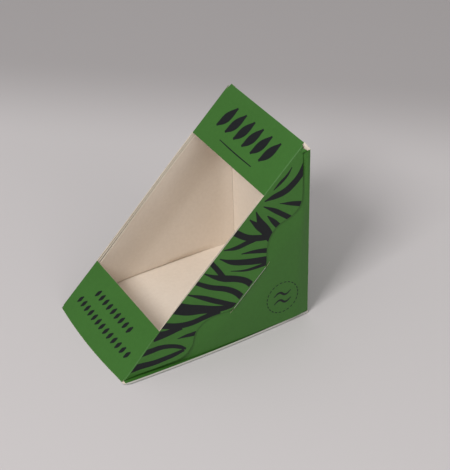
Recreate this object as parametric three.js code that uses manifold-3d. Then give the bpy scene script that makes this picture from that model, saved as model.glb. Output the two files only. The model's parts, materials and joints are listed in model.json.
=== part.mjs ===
// Sandwich wedge pack: a folded card carton, closed, standing on its bottom panel.
//
// Seen from the side it is a right-angled triangle. One cut and creased card blank makes
// the bottom panel, the back panel and two bands on the slanted front, with an open window
// between the bands. Each end is closed by three layers: a plain inner triangle that stands on
// the bottom panel, a printed end triangle that hangs on the back panel, and a wavy side flap
// that folds down from the front and is held by a tab in a slit of the end triangle.
//
// Millimetres. +X to the right end, +Y to the back, +Z up. The origin is the middle of the
// bounding box at floor level.
//
// In a side wall two lengths are used: along, measured up the slanted front edge from its
// foot, and deep, measured square to that edge into the pack.

import * as THREE from 'three';
import { mergeVertices } from 'three/addons/utils/BufferGeometryUtils.js';
import Module from 'manifold-3d';

// Driving sizes of the carton
const packHeight = 120;      // back panel, floor to ridge
const packDepth = 126;       // bottom panel at its side folds
const packWidth = 93;        // over the upright part of the two ends
const frontInset = 5;        // each end of the front lies this far inside the upright ends
const rearPinch = 1.5;       // the rear corners at the floor are drawn in by this much
const footBulge = 1.4;       // the bottom panel's side folds bulge out by this much
const topFlare = 1.3;        // the back panel's top corners stand out by this much
const frontBow = 2;          // the foot of the front bulges forward by this much in the middle
const board = 0.45;          // carton board thickness
const bottomBand = 37;       // height of the lower front band, up the slope
const topBand = 38;          // height of the upper front band, up the slope
const glueFlapHeight = 14;   // flap of the bottom panel glued inside the back panel
const glueFlapTaper = 6;     // how far each end of that flap is cut back
const cornerCut = 1.5;       // the back panel's top corners are cut off by this much

// Driving sizes of the end layers
const layerGap = 0.3;        // running gap between two layers that move apart
const tabRoom = 1.05;        // room behind the end triangle for the tab
const footHeight = 2.2;      // at the rear the inner triangle slopes in over this height
const footFront = 0.8;       // that height at the front
const footEdgeDrop = 0.8;    // front end of that foot below the slanted front
const innerEdgeDrop = 2.4;   // inner triangle's slanted edge below the front
const innerCrown = 1.2;      // that edge bulges up by this much in the middle
const endEdgeDrop = 1.5;     // end triangle's slanted edge below the front
const stripFoot = 11;        // strip along the back fold where an end swings to the fold, at
const stripTop = 1;          // the floor and at the ridge
const tipDrop = 3.2;         // end triangle's tip below the ridge, which leaves a small notch

// Driving sizes of the side flaps
const slitDepth = 32;        // slit and tab, measured down the flap from its fold
const slitLength = 36;       // slit in the end triangle
const slitGap = 0.3;         // clearance each side of the tab's board in the slit
const tabWidth = 29;         // tab at the slit
const tabTip = 23;           // tab at its inner end
const tabReach = 1.2;        // how far the tab stands through past the flap's inner face
const lobeDepth = 24.4;      // depth of the two outer lobes of the flap
const lobeRound = 4.5;       // corner rounding of the lobes
const waistDepth = 20;       // depth of the flap at its two waists
const waistSpan = 73;        // distance between the waists
const flapEndGap = 1.4;      // gap at the flap's fold to the floor and to the back panel
const flapEndRun = 3.3;      // that gap is wider by this much at the depth of the lobes

// Worked out from the sizes above
const halfPack = packWidth / 2;
const halfFront = halfPack - frontInset;
const yBack = (packDepth + frontBow) / 2;
const yFront = yBack - packDepth;
const slope = Math.hypot(packDepth, packHeight);
const cosSlope = packDepth / slope;
const sinSlope = packHeight / slope;
const cornerDeep = packDepth * sinSlope;
const middle = slope / 2;
const bandHalf = halfFront - board - layerGap;
const flapStack = board + layerGap;
const flapTilt = Math.atan2(halfPack + flapStack - halfFront, slitDepth);
const innerInset = board + tabRoom;
const curveSteps = 8;
const foldLap = 0.2;         // panels of the same sheet run this far into each other at a fold

const wasm = await Module();
wasm.setup();

// Closed geometry to solid and back

function solidOf(geometry) {
  const bare = new THREE.BufferGeometry();
  bare.setAttribute('position', geometry.getAttribute('position').clone());
  if (geometry.index) {
    bare.setIndex(geometry.index.clone());
  }
  const merged = mergeVertices(bare, 1e-5);
  const vertProperties = new Float32Array(merged.getAttribute('position').array);
  const triVerts = new Uint32Array(merged.index.array);
  return new wasm.Manifold(new wasm.Mesh({ numProp: 3, vertProperties, triVerts }));
}

function geometryOf(solid) {
  const mesh = solid.getMesh();
  const positions = new Float32Array(mesh.numVert * 3);
  for (let vertex = 0; vertex < mesh.numVert; vertex += 1) {
    for (let axis = 0; axis < 3; axis += 1) {
      positions[vertex * 3 + axis] = mesh.vertProperties[vertex * mesh.numProp + axis];
    }
  }
  const geometry = new THREE.BufferGeometry();
  geometry.setAttribute('position', new THREE.BufferAttribute(positions, 3));
  geometry.setIndex(new THREE.BufferAttribute(new Uint32Array(mesh.triVerts), 1));
  geometry.computeVertexNormals();
  return geometry;
}

function joined(solids) {
  return solids.reduce((sum, solid) => sum.add(solid));
}

// A flat outline given thickness, then turned into place by a matrix
function plate(shape, thickness, placement) {
  const geometry = new THREE.ExtrudeGeometry(shape, {
    depth: thickness,
    bevelEnabled: false,
    curveSegments: curveSteps,
  });
  geometry.applyMatrix4(placement);
  return solidOf(geometry);
}

function polygon(points) {
  return new THREE.Shape(points.map(([x, y]) => new THREE.Vector2(x, y)));
}

// A sheet bent into any form: pointAt(u, v) gives its outer face for u and v from 0 to 1, and
// every point is carried by thicknessVector to reach the inner face
function formedSheet(stepsU, stepsV, pointAt, thicknessVector) {
  const positions = [];
  const index = [];
  const row = stepsV + 1;
  const layer = (stepsU + 1) * row;
  for (const offset of [new THREE.Vector3(), thicknessVector]) {
    for (let i = 0; i <= stepsU; i += 1) {
      for (let j = 0; j <= stepsV; j += 1) {
        positions.push(...pointAt(i / stepsU, j / stepsV).clone().add(offset).toArray());
      }
    }
  }
  const quad = (a, b, c, d) => index.push(a, b, c, a, c, d);
  for (let i = 0; i < stepsU; i += 1) {
    for (let j = 0; j < stepsV; j += 1) {
      const corner = i * row + j;
      quad(corner, corner + row, corner + row + 1, corner + 1);
      quad(layer + corner, layer + corner + 1, layer + corner + row + 1, layer + corner + row);
    }
  }
  for (let i = 0; i < stepsU; i += 1) {
    const low = i * row;
    const high = low + stepsV;
    quad(low, layer + low, layer + low + row, low + row);
    quad(high, high + row, layer + high + row, layer + high);
  }
  for (let j = 0; j < stepsV; j += 1) {
    const near = j;
    const far = stepsU * row + j;
    quad(near, near + 1, layer + near + 1, layer + near);
    quad(far, layer + far, layer + far + 1, far + 1);
  }
  const geometry = new THREE.BufferGeometry();
  geometry.setAttribute('position', new THREE.Float32BufferAttribute(positions, 3));
  geometry.setIndex(index);
  const solid = solidOf(geometry);
  if (solid.volume() > 0) {
    return solid;
  }
  geometry.setIndex(index.slice().reverse());
  return solidOf(geometry);
}

// Frames: side view outlines are drawn as (y, z) and extruded along x

function sideView(xStart) {
  const basis = new THREE.Matrix4().makeBasis(
    new THREE.Vector3(0, 1, 0),
    new THREE.Vector3(0, 0, 1),
    new THREE.Vector3(1, 0, 0),
  );
  return basis.setPosition(xStart, 0, 0);
}

// The slanted front: x across, along up the slope, and outwards
function frontView(outward) {
  const basis = new THREE.Matrix4().makeBasis(
    new THREE.Vector3(1, 0, 0),
    new THREE.Vector3(0, cosSlope, sinSlope),
    new THREE.Vector3(0, -sinSlope, cosSlope),
  );
  return basis.setPosition(0, yFront - sinSlope * outward, cosSlope * outward);
}

// A side flap's own frame: along its fold, down the flap, and square to it. The third axis
// points into the pack at the right end and out of it at the left end.
function flapFrame(side) {
  const fold = new THREE.Vector3(0, cosSlope, sinSlope);
  const down = new THREE.Vector3(
    side * Math.sin(flapTilt),
    sinSlope * Math.cos(flapTilt),
    -cosSlope * Math.cos(flapTilt),
  );
  const square = new THREE.Vector3().crossVectors(fold, down);
  return new THREE.Matrix4().makeBasis(fold, down, square).setPosition(side * halfFront, yFront, 0);
}

// The wall's outer face lies at this x for a point that is deep below the front: it leans in
// under the side flap and stands upright below the slit
function wallX(deep, inward) {
  const underFlap = halfFront - flapStack / Math.cos(flapTilt) + deep * Math.tan(flapTilt);
  return Math.min(halfPack, underFlap) - inward;
}

const bendDeep = (halfPack - wallX(0, 0)) / Math.tan(flapTilt);

function deepAt(y, z) {
  return (y - yFront) * sinSlope - z * cosSlope;
}

// A side view outline as a solid across the whole pack, to trim with
function acrossPack(shape) {
  const reach = halfPack + footBulge + topFlare + 1;
  return plate(shape, 2 * reach, sideView(-reach));
}

// Height of the slanted front's outer face above a point of the floor
function frontZ(y) {
  return (y - yFront) * packHeight / packDepth;
}

// Half width of the bottom panel: pinched at the rear corners, bulged along its sides
function bottomHalf(y) {
  const forward = (yBack - y) / packDepth;
  return halfPack + 4 * footBulge * forward * (1 - forward) - rearPinch * (1 - forward) ** 3;
}

// Half width of the back panel: pinched at the floor, flared at the top
function backHalf(z) {
  const up = z / packHeight;
  return halfPack - rearPinch * (1 - up) ** 2 + topFlare * up ** 2;
}

// Height over which the inner triangle slopes in, lower towards the front
function footTop(y) {
  return THREE.MathUtils.lerp(footHeight, footFront, (yBack - y) / packDepth);
}

// Front line of the strip along the back fold, at a height
function stripStart(z) {
  return yBack - THREE.MathUtils.lerp(stripFoot, stripTop, z / packHeight);
}

// Evenly spaced values from start to end, both included
function spread(start, end, steps) {
  return Array.from({ length: steps + 1 }, (_, i) => start + (end - start) * i / steps);
}

// Bottom panel, with curved side folds and its front edge curved forward
function bottomPanel() {
  const rearward = spread(yFront, yBack, curveSteps).map((y) => [bottomHalf(y), y]);
  const bowed = spread(-bandHalf, bandHalf, 2 * curveSteps)
    .map((x) => [x, yFront - frontBow * (1 - (x / bandHalf) ** 2)]);
  const forward = rearward.map(([x, y]) => [-x, y]).reverse();
  return plate(polygon([...forward, ...bowed, ...rearward]), board, new THREE.Matrix4());
}

// Back panel. Its top edge follows the slope, inside the fold of the upper band, and its
// top corners beside the band are cut off.
function backPanel() {
  const yInner = yBack - board;
  const lowered = board / 2 / cosSlope;
  const section = polygon([
    [yInner, foldLap],
    [yBack, foldLap],
    [yBack, frontZ(yBack) - lowered],
    [yInner, frontZ(yInner) - lowered],
  ]);
  const inside = board / 2;
  const rising = spread(0, packHeight - cornerCut, curveSteps)
    .map((z) => [backHalf(z) - inside, z]);
  rising.push([backHalf(packHeight) - inside - cornerCut, packHeight]);
  const falling = rising.map(([x, z]) => [-x, z]).reverse();
  const upright = new THREE.Matrix4().makeRotationX(Math.PI / 2);
  upright.setPosition(0, yBack + board, 0);
  const face = plate(polygon([...rising, ...falling]), 3 * board, upright);
  return acrossPack(section).intersect(face);
}

// Glue flap: the bottom panel's rear edge turned up and stuck inside the back panel
function glueFlap() {
  const foot = bottomHalf(yBack) - 2 * board;
  const top = foot - glueFlapTaper;
  const shape = polygon([
    [-foot, foldLap],
    [foot, foldLap],
    [top, glueFlapHeight],
    [-top, glueFlapHeight],
  ]);
  const upright = new THREE.Matrix4().makeRotationX(Math.PI / 2);
  upright.setPosition(0, yBack - board + foldLap, 0);
  return plate(shape, board + foldLap, upright);
}

// Upper front band, folded forward from the back panel's top edge
function topBandPlate() {
  const ridge = slope - board * sinSlope / cosSlope;
  const shape = polygon([
    [-bandHalf, slope - topBand],
    [bandHalf, slope - topBand],
    [bandHalf, ridge],
    [-bandHalf, ridge],
  ]);
  return plate(shape, board, frontView(-board));
}

// Lower front band, folded up from the bottom panel's curved front edge
function bottomBandSheet() {
  const rise = (u, v) => {
    const x = (2 * u - 1) * bandHalf;
    const along = v * bottomBand;
    const bow = frontBow * (1 - (x / bandHalf) ** 2) * (1 - v);
    return new THREE.Vector3(x, yFront + along * cosSlope - bow, along * sinSlope);
  };
  const inward = new THREE.Vector3(0, board * sinSlope, -board * cosSlope);
  const room = new THREE.BoxGeometry(packWidth, 2 * packDepth, packHeight);
  room.translate(0, 0, packHeight / 2 + foldLap);
  return formedSheet(curveSteps * 2, 3, rise, inward).intersect(solidOf(room));
}

// Section of an end layer across the slope: leaning under the flap, upright below it. It is
// drawn as (x, deep) and extruded up the slope.
function bentWall(side, inward) {
  const outerTop = wallX(0, inward);
  const outerFoot = halfPack - inward;
  const shape = polygon([
    [side * outerTop, 0],
    [side * outerFoot, bendDeep],
    [side * outerFoot, cornerDeep + 1],
    [side * (outerFoot - board), cornerDeep + 1],
    [side * (outerFoot - board), bendDeep],
    [side * (outerTop - board), 0],
  ]);
  const basis = new THREE.Matrix4().makeBasis(
    new THREE.Vector3(1, 0, 0),
    new THREE.Vector3(0, sinSlope, -cosSlope),
    new THREE.Vector3(0, cosSlope, sinSlope),
  );
  basis.setPosition(0, yFront - cosSlope, -sinSlope);
  return plate(shape, slope + 2, basis);
}

// That wall with the strip along the back fold, where it swings to the given half width
function endWall(side, inward, foldHalf) {
  const behind = acrossPack(polygon([
    [stripStart(0), 0],
    [yBack + 1, 0],
    [yBack + 1, packHeight],
    [stripStart(packHeight), packHeight],
  ]));
  const swing = (u, v) => {
    const z = v * packHeight;
    const y = THREE.MathUtils.lerp(stripStart(z) - foldLap, yBack, u);
    const leaning = wallX(deepAt(stripStart(z), z), inward);
    const x = THREE.MathUtils.lerp(leaning, foldHalf(z) - inward, u);
    return new THREE.Vector3(side * (x - foldLap / 4), y, z);
  };
  const thickness = new THREE.Vector3(-side * (board - foldLap / 2), 0, 0);
  const strip = formedSheet(3, 2 * curveSteps, swing, thickness);
  return bentWall(side, inward).subtract(behind).add(strip);
}

// Inner triangle: plain, standing on the bottom panel's side edge. Its foot slopes in to
// leave room for the tab, and its slanted edge is crowned.
function innerTriangle(side) {
  const backClear = yBack - board - 2 * layerGap;
  const frontStart = yFront + innerEdgeDrop / sinSlope;
  const wallStart = frontStart + footFront * packDepth / packHeight;
  const topEnd = frontZ(backClear) - innerEdgeDrop / cosSlope;
  const outline = new THREE.Shape();
  outline.moveTo(wallStart, footTop(wallStart));
  outline.lineTo(backClear, footTop(backClear));
  outline.lineTo(backClear, topEnd);
  outline.quadraticCurveTo(
    (wallStart + backClear) / 2 - 2 * innerCrown * sinSlope,
    (footTop(wallStart) + topEnd) / 2 + 2 * innerCrown * cosSlope,
    wallStart,
    footTop(wallStart),
  );
  const upright = (z) => Math.min(backHalf(z), wallX(deepAt(stripStart(z), z), 0));
  const wall = endWall(side, innerInset, upright).intersect(acrossPack(outline));
  const footBoard = board - foldLap;
  const rise = (u, v) => {
    const y = THREE.MathUtils.lerp(yFront + foldLap, backClear - foldLap, u);
    const z = [foldLap / 2, footTop(y), footTop(y) + 2 * foldLap][Math.round(2 * v)];
    const start = stripStart(z);
    const rear = Math.max(0, (y - start) / (yBack - start));
    const leaning = wallX(deepAt(Math.min(y, start), z), 0);
    const top = THREE.MathUtils.lerp(leaning, upright(z), rear) - innerInset;
    return new THREE.Vector3(side * ((v === 0 ? bottomHalf(y) : top) - foldLap / 2), y, z);
  };
  const inward = new THREE.Vector3(-side * footBoard, 0, 0);
  const footTrim = acrossPack(polygon([
    [yFront + footEdgeDrop / sinSlope, 0],
    [yBack, 0],
    [yBack, frontZ(yBack) - footEdgeDrop / cosSlope],
  ]));
  const foot = formedSheet(curveSteps * 2, 2, rise, inward);
  return wall.add(foot.intersect(footTrim));
}

// End triangle: printed, hinged on the back panel's side edge, with the slit for the tab
function endTriangle(side) {
  const yFold = yBack - board / 2;
  const edgeZ = (y) => frontZ(y) - endEdgeDrop / cosSlope;
  const lift = (y) => footTop(y) + layerGap;
  const frontY = yFront + (lift(yFront) + endEdgeDrop / cosSlope) * packDepth / packHeight;
  const trim = acrossPack(polygon([
    [frontY, lift(yFront)],
    [yFold, lift(yBack)],
    [yFold, packHeight - tipDrop],
    [stripStart(packHeight), edgeZ(stripStart(packHeight))],
  ]));
  const slitLow = slitDepth - board - slitGap;
  const slitHigh = slitDepth + slitGap;
  const slitShape = polygon([
    [middle - slitLength / 2, slitLow],
    [middle + slitLength / 2, slitLow],
    [middle + slitLength / 2, slitHigh],
    [middle - slitLength / 2, slitHigh],
  ]);
  const reach = innerInset + flapStack;
  const centred = new THREE.Matrix4().makeTranslation(0, 0, -reach);
  const slit = plate(slitShape, 2 * reach, flapFrame(side).multiply(centred));
  return endWall(side, 0, backHalf).intersect(trim).subtract(slit);
}

// Where the flap's straight end edges lie along its fold, for a given depth down the flap
function flapLowEnd(down) {
  const gap = flapEndGap + flapEndRun * down / lobeDepth;
  return (gap + down * cosSlope * Math.cos(flapTilt)) / sinSlope;
}

function flapHighEnd(down) {
  const gap = flapEndGap + flapEndRun * down / lobeDepth;
  return slope - (gap + down * sinSlope * Math.cos(flapTilt)) / cosSlope;
}

// Side flap: wavy free edge with two lobes, two waists and the tab in the middle
function flapShape() {
  const shape = new THREE.Shape();
  const shoulder = lobeDepth - lobeRound;
  const lowWaist = middle - waistSpan / 2;
  const highWaist = middle + waistSpan / 2;
  const lowTab = middle - tabWidth / 2;
  const highTab = middle + tabWidth / 2;
  const lowLobe = flapLowEnd(lobeDepth);
  const highLobe = flapHighEnd(lobeDepth);
  shape.moveTo(flapLowEnd(0), 0);
  shape.lineTo(flapLowEnd(shoulder), shoulder);
  shape.quadraticCurveTo(lowLobe, lobeDepth, lowLobe + lobeRound, lobeDepth - board);
  shape.bezierCurveTo(
    (lowLobe + lobeRound + lowWaist) / 2, lobeDepth - board,
    (lowLobe + lobeRound + lowWaist) / 2, waistDepth,
    lowWaist, waistDepth,
  );
  shape.bezierCurveTo(
    (lowWaist + lowTab) / 2, waistDepth,
    (lowWaist + 2 * lowTab) / 3, (waistDepth + 2 * slitDepth) / 3,
    lowTab, slitDepth,
  );
  shape.lineTo(highTab, slitDepth);
  shape.bezierCurveTo(
    (highWaist + 2 * highTab) / 3, (waistDepth + 2 * slitDepth) / 3,
    (highWaist + highTab) / 2, waistDepth,
    highWaist, waistDepth,
  );
  shape.bezierCurveTo(
    (highLobe - lobeRound + highWaist) / 2, waistDepth,
    (highLobe - lobeRound + highWaist) / 2, lobeDepth - board,
    highLobe - lobeRound, lobeDepth - board,
  );
  shape.quadraticCurveTo(highLobe, lobeDepth, flapHighEnd(shoulder), shoulder);
  shape.lineTo(flapHighEnd(0), 0);
  return shape;
}

// Tab: the flap's middle turned square into the slit, narrower at its inner end
function tabSolid(side) {
  const reach = board + tabReach;
  const shape = polygon([
    [middle - tabWidth / 2, 0],
    [middle + tabWidth / 2, 0],
    [middle + tabTip / 2, side * reach],
    [middle - tabTip / 2, side * reach],
  ]);
  const basis = new THREE.Matrix4().makeBasis(
    new THREE.Vector3(1, 0, 0),
    new THREE.Vector3(0, 0, 1),
    new THREE.Vector3(0, -1, 0),
  );
  return plate(shape, board, basis.setPosition(0, slitDepth, 0));
}

function sideFlap(side) {
  const inner = side > 0 ? 0 : -board;
  const face = plate(flapShape(), board, new THREE.Matrix4().makeTranslation(0, 0, inner));
  return face.add(tabSolid(side));
}

// Materials: printed green board on the outside of all visible panels
const printedBoard = new THREE.MeshStandardMaterial({
  color: 0x3f7a2c,
  roughness: 0.55,
  metalness: 0,
});
const printedFlap = new THREE.MeshStandardMaterial({
  color: 0x447f31,
  roughness: 0.55,
  metalness: 0,
});

function node(name, solid, material) {
  const mesh = new THREE.Mesh(geometryOf(solid), material);
  mesh.name = name;
  return mesh;
}

const pack = new THREE.Group();

const sheet = joined([
  bottomPanel(),
  backPanel(),
  glueFlap(),
  topBandPlate(),
  bottomBandSheet(),
  innerTriangle(1),
  innerTriangle(-1),
  endTriangle(1),
  endTriangle(-1),
]);
pack.add(node('carton', sheet, printedBoard));

for (const [name, side] of [['side_flap_right', 1], ['side_flap_left', -1]]) {
  const hinge = new THREE.Group();
  flapFrame(side).decompose(hinge.position, hinge.quaternion, hinge.scale);
  hinge.add(node(name, sideFlap(side), printedFlap));
  pack.add(hinge);
}

export default pack;
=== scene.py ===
# %% [markdown]
# # A sandwich wedge pack, folded from printed board
#
# The real pack is one sheet of thin white-lined board, printed green on its outside, cut,
# creased and folded. Seen from the end it is a right-angled triangle: it stands on its
# bottom panel, its back is upright, and its slanted front is open between two bands.
#
# This lesson builds it as a carton maker would: each part of the sheet starts as a flat grid,
# is cut to its outline, is folded into place, and only then gets the thickness of the board.
# All sizes are worked in millimetres and turned into metres at the end of each piece.

# %% Start from the engineering model
import json
import math
import bpy
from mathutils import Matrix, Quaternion, Vector


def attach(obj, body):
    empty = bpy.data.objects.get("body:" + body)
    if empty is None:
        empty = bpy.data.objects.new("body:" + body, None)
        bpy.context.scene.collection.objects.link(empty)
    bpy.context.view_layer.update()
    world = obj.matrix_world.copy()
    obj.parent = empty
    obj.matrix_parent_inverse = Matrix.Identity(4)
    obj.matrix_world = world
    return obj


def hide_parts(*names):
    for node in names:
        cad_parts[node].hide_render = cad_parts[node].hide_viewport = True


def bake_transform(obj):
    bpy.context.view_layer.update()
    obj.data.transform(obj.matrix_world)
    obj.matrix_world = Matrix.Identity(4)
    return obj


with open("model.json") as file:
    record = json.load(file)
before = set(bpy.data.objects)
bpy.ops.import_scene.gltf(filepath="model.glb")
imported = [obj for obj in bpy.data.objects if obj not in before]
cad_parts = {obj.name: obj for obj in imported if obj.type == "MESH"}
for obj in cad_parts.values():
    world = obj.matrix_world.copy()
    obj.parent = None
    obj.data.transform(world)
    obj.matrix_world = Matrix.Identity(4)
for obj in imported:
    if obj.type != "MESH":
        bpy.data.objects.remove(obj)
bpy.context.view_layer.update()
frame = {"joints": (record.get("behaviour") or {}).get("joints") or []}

MM = 0.001

# %% [markdown]
# ## Sizes
#
# The slanted front's direction and place are read from the hinge of the right side flap,
# because that hinge lies exactly on the fold. Two lengths are used on the ends of the pack:
# along, up the slanted front from its foot, and deep, square to the front into the pack.

# %% Read the slanted front from the hinge
hinge = frame["joints"][0]
half_front = hinge["pos_m"][0] / MM
pack_height = 2 * hinge["pos_m"][2] / MM
cos_slope, sin_slope = -hinge["axis"][1], -hinge["axis"][2]
pack_depth = pack_height * cos_slope / sin_slope
y_front = hinge["pos_m"][1] / MM - pack_depth / 2
y_back = y_front + pack_depth
slope = math.hypot(pack_depth, pack_height)
middle = slope / 2
print("slanted front", round(slope, 1), "mm long, pack", round(pack_height, 1), "mm tall")

# %% Sizes of the carton
# Thickness of the board, and the running gap between two layers
board, layer_gap = 0.45, 0.3
# Half width over the upright ends, drawn in at the rear and bulging along the floor
half_pack, rear_pinch, foot_bulge = 46.5, 1.5, 1.4
# The foot of the front bows forward in the middle, and the floor follows for a short way
front_bow, bow_run = 2.0, 20.0
# The two front bands, measured up the slope, and half the width of their panels
bottom_band, top_band = 37.0, 38.0
band_half = half_front - board - layer_gap
# The flap that is glued inside the back panel, and how far its ends are cut back
glue_flap_height, glue_flap_taper = 14.0, 6.0
# How fast the back panel's top corners are cut away towards the ridge
corner_cut = 1.25
# The slit lies this far down the side flap, which leans out to reach over the end
slit_depth = 32.0
flap_stack = board + layer_gap
flap_tilt = math.atan2(half_pack + flap_stack - half_front, slit_depth)
flap_lean = math.cos(flap_tilt)
# The inner triangle: room behind the end for the tab, its sloping foot and its edge
tab_room = 1.05
inner_inset = board + tab_room
foot_height, foot_front, foot_edge_drop = 2.2, 0.8, 0.8
inner_edge_drop = {1: 2.4, -1: 1.5}
inner_crown = 1.2
# The printed triangle: its edge below the front, its swing to the back fold, its tip
end_edge_drop = {1: 1.5, -1: 0.9}
strip_foot, strip_top = 11.0, 1.0
swing_room, swing_curve = 0.1, 1.5
tip_drop = 3.2
# How this one pack was folded by hand: tucked, lifted, spread, leaning and sprung parts
left_tuck, tuck_run = 5.2, 24.0
foot_corner = 2.0
edge_lift, lip_height = 0.6, 1.1
foot_spread, corner_draw, top_spread, shift_run = 1.5, 0.3, 1.2, 16.0
rear_lean = 1.75
lobe_lift, lobe_run = 1.2, 32.0
# The two ends of the pack, by the sign of x
SIDES = ((1, "right"), (-1, "left"))
print("side flaps lean by", round(math.degrees(flap_tilt), 1), "degrees")

# %% [markdown]
# ## Where the sheet lies
#
# These small functions say where the folded sheet is. The walls of the two ends lean in near
# the front, because the side flaps lie over them, and stand upright further down. A real
# sheet can't kink there, so the two planes pass into each other in a soft curve.
#
# A carton folded by hand is never quite true. Here the right fold runs a little askew, the
# left one spreads at the top, two left corners are tucked in behind their bands, and the
# right back fold leans back. Formulas for these small errors sit beside the true ones, so
# that every layer follows them together and none pokes through its neighbour.

# %% Place functions for the folded sheet
def lerp(start, end, part):
    return start + (end - start) * part


def smooth(part):
    part = min(1.0, max(0.0, part))
    return part * part * (3 - 2 * part)


def fold_shift(side, along):
    """Outward shift of a fold: the right one runs askew, the left one spreads at the top."""
    up_window = smooth((along - bottom_band) / (slope - top_band - bottom_band))
    if side < 0:
        return top_spread * up_window
    if along < bottom_band:
        return lerp(foot_spread, -corner_draw, smooth(along / bottom_band))
    return -corner_draw * (1 - up_window)


def end_shift(side, along, down):
    """The shift of a fold dies out down the end of the pack."""
    return fold_shift(side, along) * max(0.0, 1 - down / shift_run) ** 2


def front_point(x, along, outward=0.0):
    """A point on the slanted front, or this far outside it."""
    y = y_front + along * cos_slope - outward * sin_slope
    share = min(1.0, abs(x) / band_half) ** 2
    x += math.copysign(fold_shift(x, along) * share, x)
    return Vector((x, y, along * sin_slope + outward * cos_slope))


def deep_at(y, z):
    """How deep a point of an end lies, square to the slanted front."""
    return (y - y_front) * sin_slope - z * cos_slope


def wall_x(deep, softness=0.5):
    """Half width of an end wall: it leans under the side flap, then stands upright."""
    leaning = half_front - flap_stack / flap_lean + deep * math.tan(flap_tilt)
    over = (leaning - half_pack) / softness
    return half_pack - softness * math.log1p(math.exp(-over)) if over > -30 else leaning


def front_z(y):
    """Height of the slanted front over a point of the floor."""
    return (y - y_front) * pack_height / pack_depth


def bottom_half(y):
    """Half width of the bottom panel before its front corners are drawn in."""
    forward = (y_back - y) / pack_depth
    return half_pack + 4 * foot_bulge * forward * (1 - forward) - rear_pinch * (1 - forward) ** 3


def floor_half(side, y):
    """Half width of the bottom panel. Its left front corner is tucked in behind the band."""
    forward = y - y_front
    tuck = left_tuck * max(0.0, 1 - forward / tuck_run) ** 2 if side < 0 else 0.0
    return bottom_half(y) - tuck - max(0.0, foot_corner - forward)


def rear_half(side, z):
    """Half width of the back panel. Its top left corner is tucked in behind the band."""
    tuck = left_tuck * max(0.0, 1 - (pack_height - z) / tuck_run) ** 2 if side < 0 else 0.0
    return half_pack - rear_pinch - tuck


def rear_y(side, z):
    """The right fold of the back panel leans back towards the top."""
    return y_back + (rear_lean * z / pack_height if side > 0 else 0.0)


def foot_top(y):
    """Height of an inner triangle's sloping foot, which is lower towards the front."""
    return lerp(foot_height, foot_front, (y_back - y) / pack_depth)


def strip_start(z):
    """Front of the strip beside the back fold: the strip is wide at the floor."""
    return y_back - lerp(strip_foot, strip_top, z / pack_height)


def end_x(side, y, z, fold):
    """Half width of an end wall: it swings out or in to its back fold along a narrow strip."""
    start = strip_start(z)
    deep = deep_at(min(y, start), z)
    leaning = wall_x(deep) + end_shift(side, (y - y_front) * cos_slope + z * sin_slope, deep)
    part = (y - start) / (y_back - board - swing_room - start)
    return lerp(leaning, fold, min(1.0, max(0.0, part)) ** swing_curve)


def bow(x):
    """How far the foot of the front bows forward."""
    return front_bow * (1 - (x / band_half) ** 2)


print("end wall stands", round(end_x(1, 0, 10, rear_half(1, 10)), 2), "mm from the middle")

# %% [markdown]
# ## Colours and a helper for nodes
#
# Every colour is written as the sRGB hex value that a colour picker shows, and one function
# turns it into the linear values that the renderer adds and multiplies.

# %% Colour and node helpers
def to_linear(hex_colour):
    parts = [int(hex_colour[i:i + 2], 16) / 255 for i in (1, 3, 5)]
    linear = [c / 12.92 if c <= 0.04045 else ((c + 0.055) / 1.055) ** 2.4 for c in parts]
    return (*linear, 1.0)


def add_node(tree, kind, settings=None, values=None, links=None):
    """Adds one node, sets its options and sockets, and links other nodes' outputs to it."""
    node = tree.nodes.new(kind)
    for name, value in (settings or {}).items():
        setattr(node, name, value)
    for name, value in (values or {}).items():
        node.inputs[name].default_value = value
    for name, output in (links or {}).items():
        tree.links.new(output, node.inputs[name])
    return node


def new_finish(name):
    """An empty material with its surface shader, and the object's own coordinates."""
    finish = bpy.data.materials.new(name)
    finish.use_nodes = True
    tree = finish.node_tree
    shader = next(n for n in tree.nodes if n.type == "BSDF_PRINCIPLED")
    place = add_node(tree, "ShaderNodeTexCoord")
    return finish, tree, shader, place.outputs["Object"]


def per_mm(size):
    """Noise scale at which one patch is about this many millimetres across."""
    return 1 / (size * MM)


print("white is", to_linear("#FFFFFF"))

# %% [markdown]
# ## The board's finishes
#
# Folding board is wood fibre with a thin white coating on the outside, which takes offset
# print well. Ink on it is satin, not glossy, and slightly cloudy. The inside is bare cream
# fibre with a fine mottle, and a cut edge shows the raw, matt fibre. Where a crease is
# folded, the ink cracks a little and shows lighter.

# %% Printed, bare and cut board
cloud_size = 38.0


def board_finish(name, colour, cloud, roughness, mottle=2.2, depth=0.004, ior=1.48):
    """Board: two shades clouded together by fibre, with a very low relief."""
    finish, tree, shader, place = new_finish(name)
    floc = add_node(tree, "ShaderNodeTexNoise", {}, {
        "Scale": per_mm(mottle), "Detail": 5.0, "Roughness": 0.62}, {"Vector": place})
    drift = add_node(tree, "ShaderNodeTexNoise", {}, {
        "Scale": per_mm(cloud_size), "Detail": 2.0}, {"Vector": place})
    both = add_node(tree, "ShaderNodeMath", {"operation": "ADD"}, {}, {
        0: floc.outputs["Fac"], 1: drift.outputs["Fac"]})
    part = add_node(tree, "ShaderNodeMapRange", {}, {
        "From Min": 0.7, "From Max": 1.3}, {"Value": both.outputs[0]})
    mixed = add_node(tree, "ShaderNodeMix", {"data_type": "RGBA"}, {
        6: to_linear(colour), 7: to_linear(cloud)}, {0: part.outputs["Result"]})
    relief = add_node(tree, "ShaderNodeBump", {}, {
        "Strength": 0.35, "Distance": depth * MM}, {"Height": floc.outputs["Fac"]})
    tree.links.new(mixed.outputs[2], shader.inputs["Base Color"])
    tree.links.new(relief.outputs["Normal"], shader.inputs["Normal"])
    shader.inputs["Roughness"].default_value = roughness
    shader.inputs["IOR"].default_value = ior
    return finish


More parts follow.
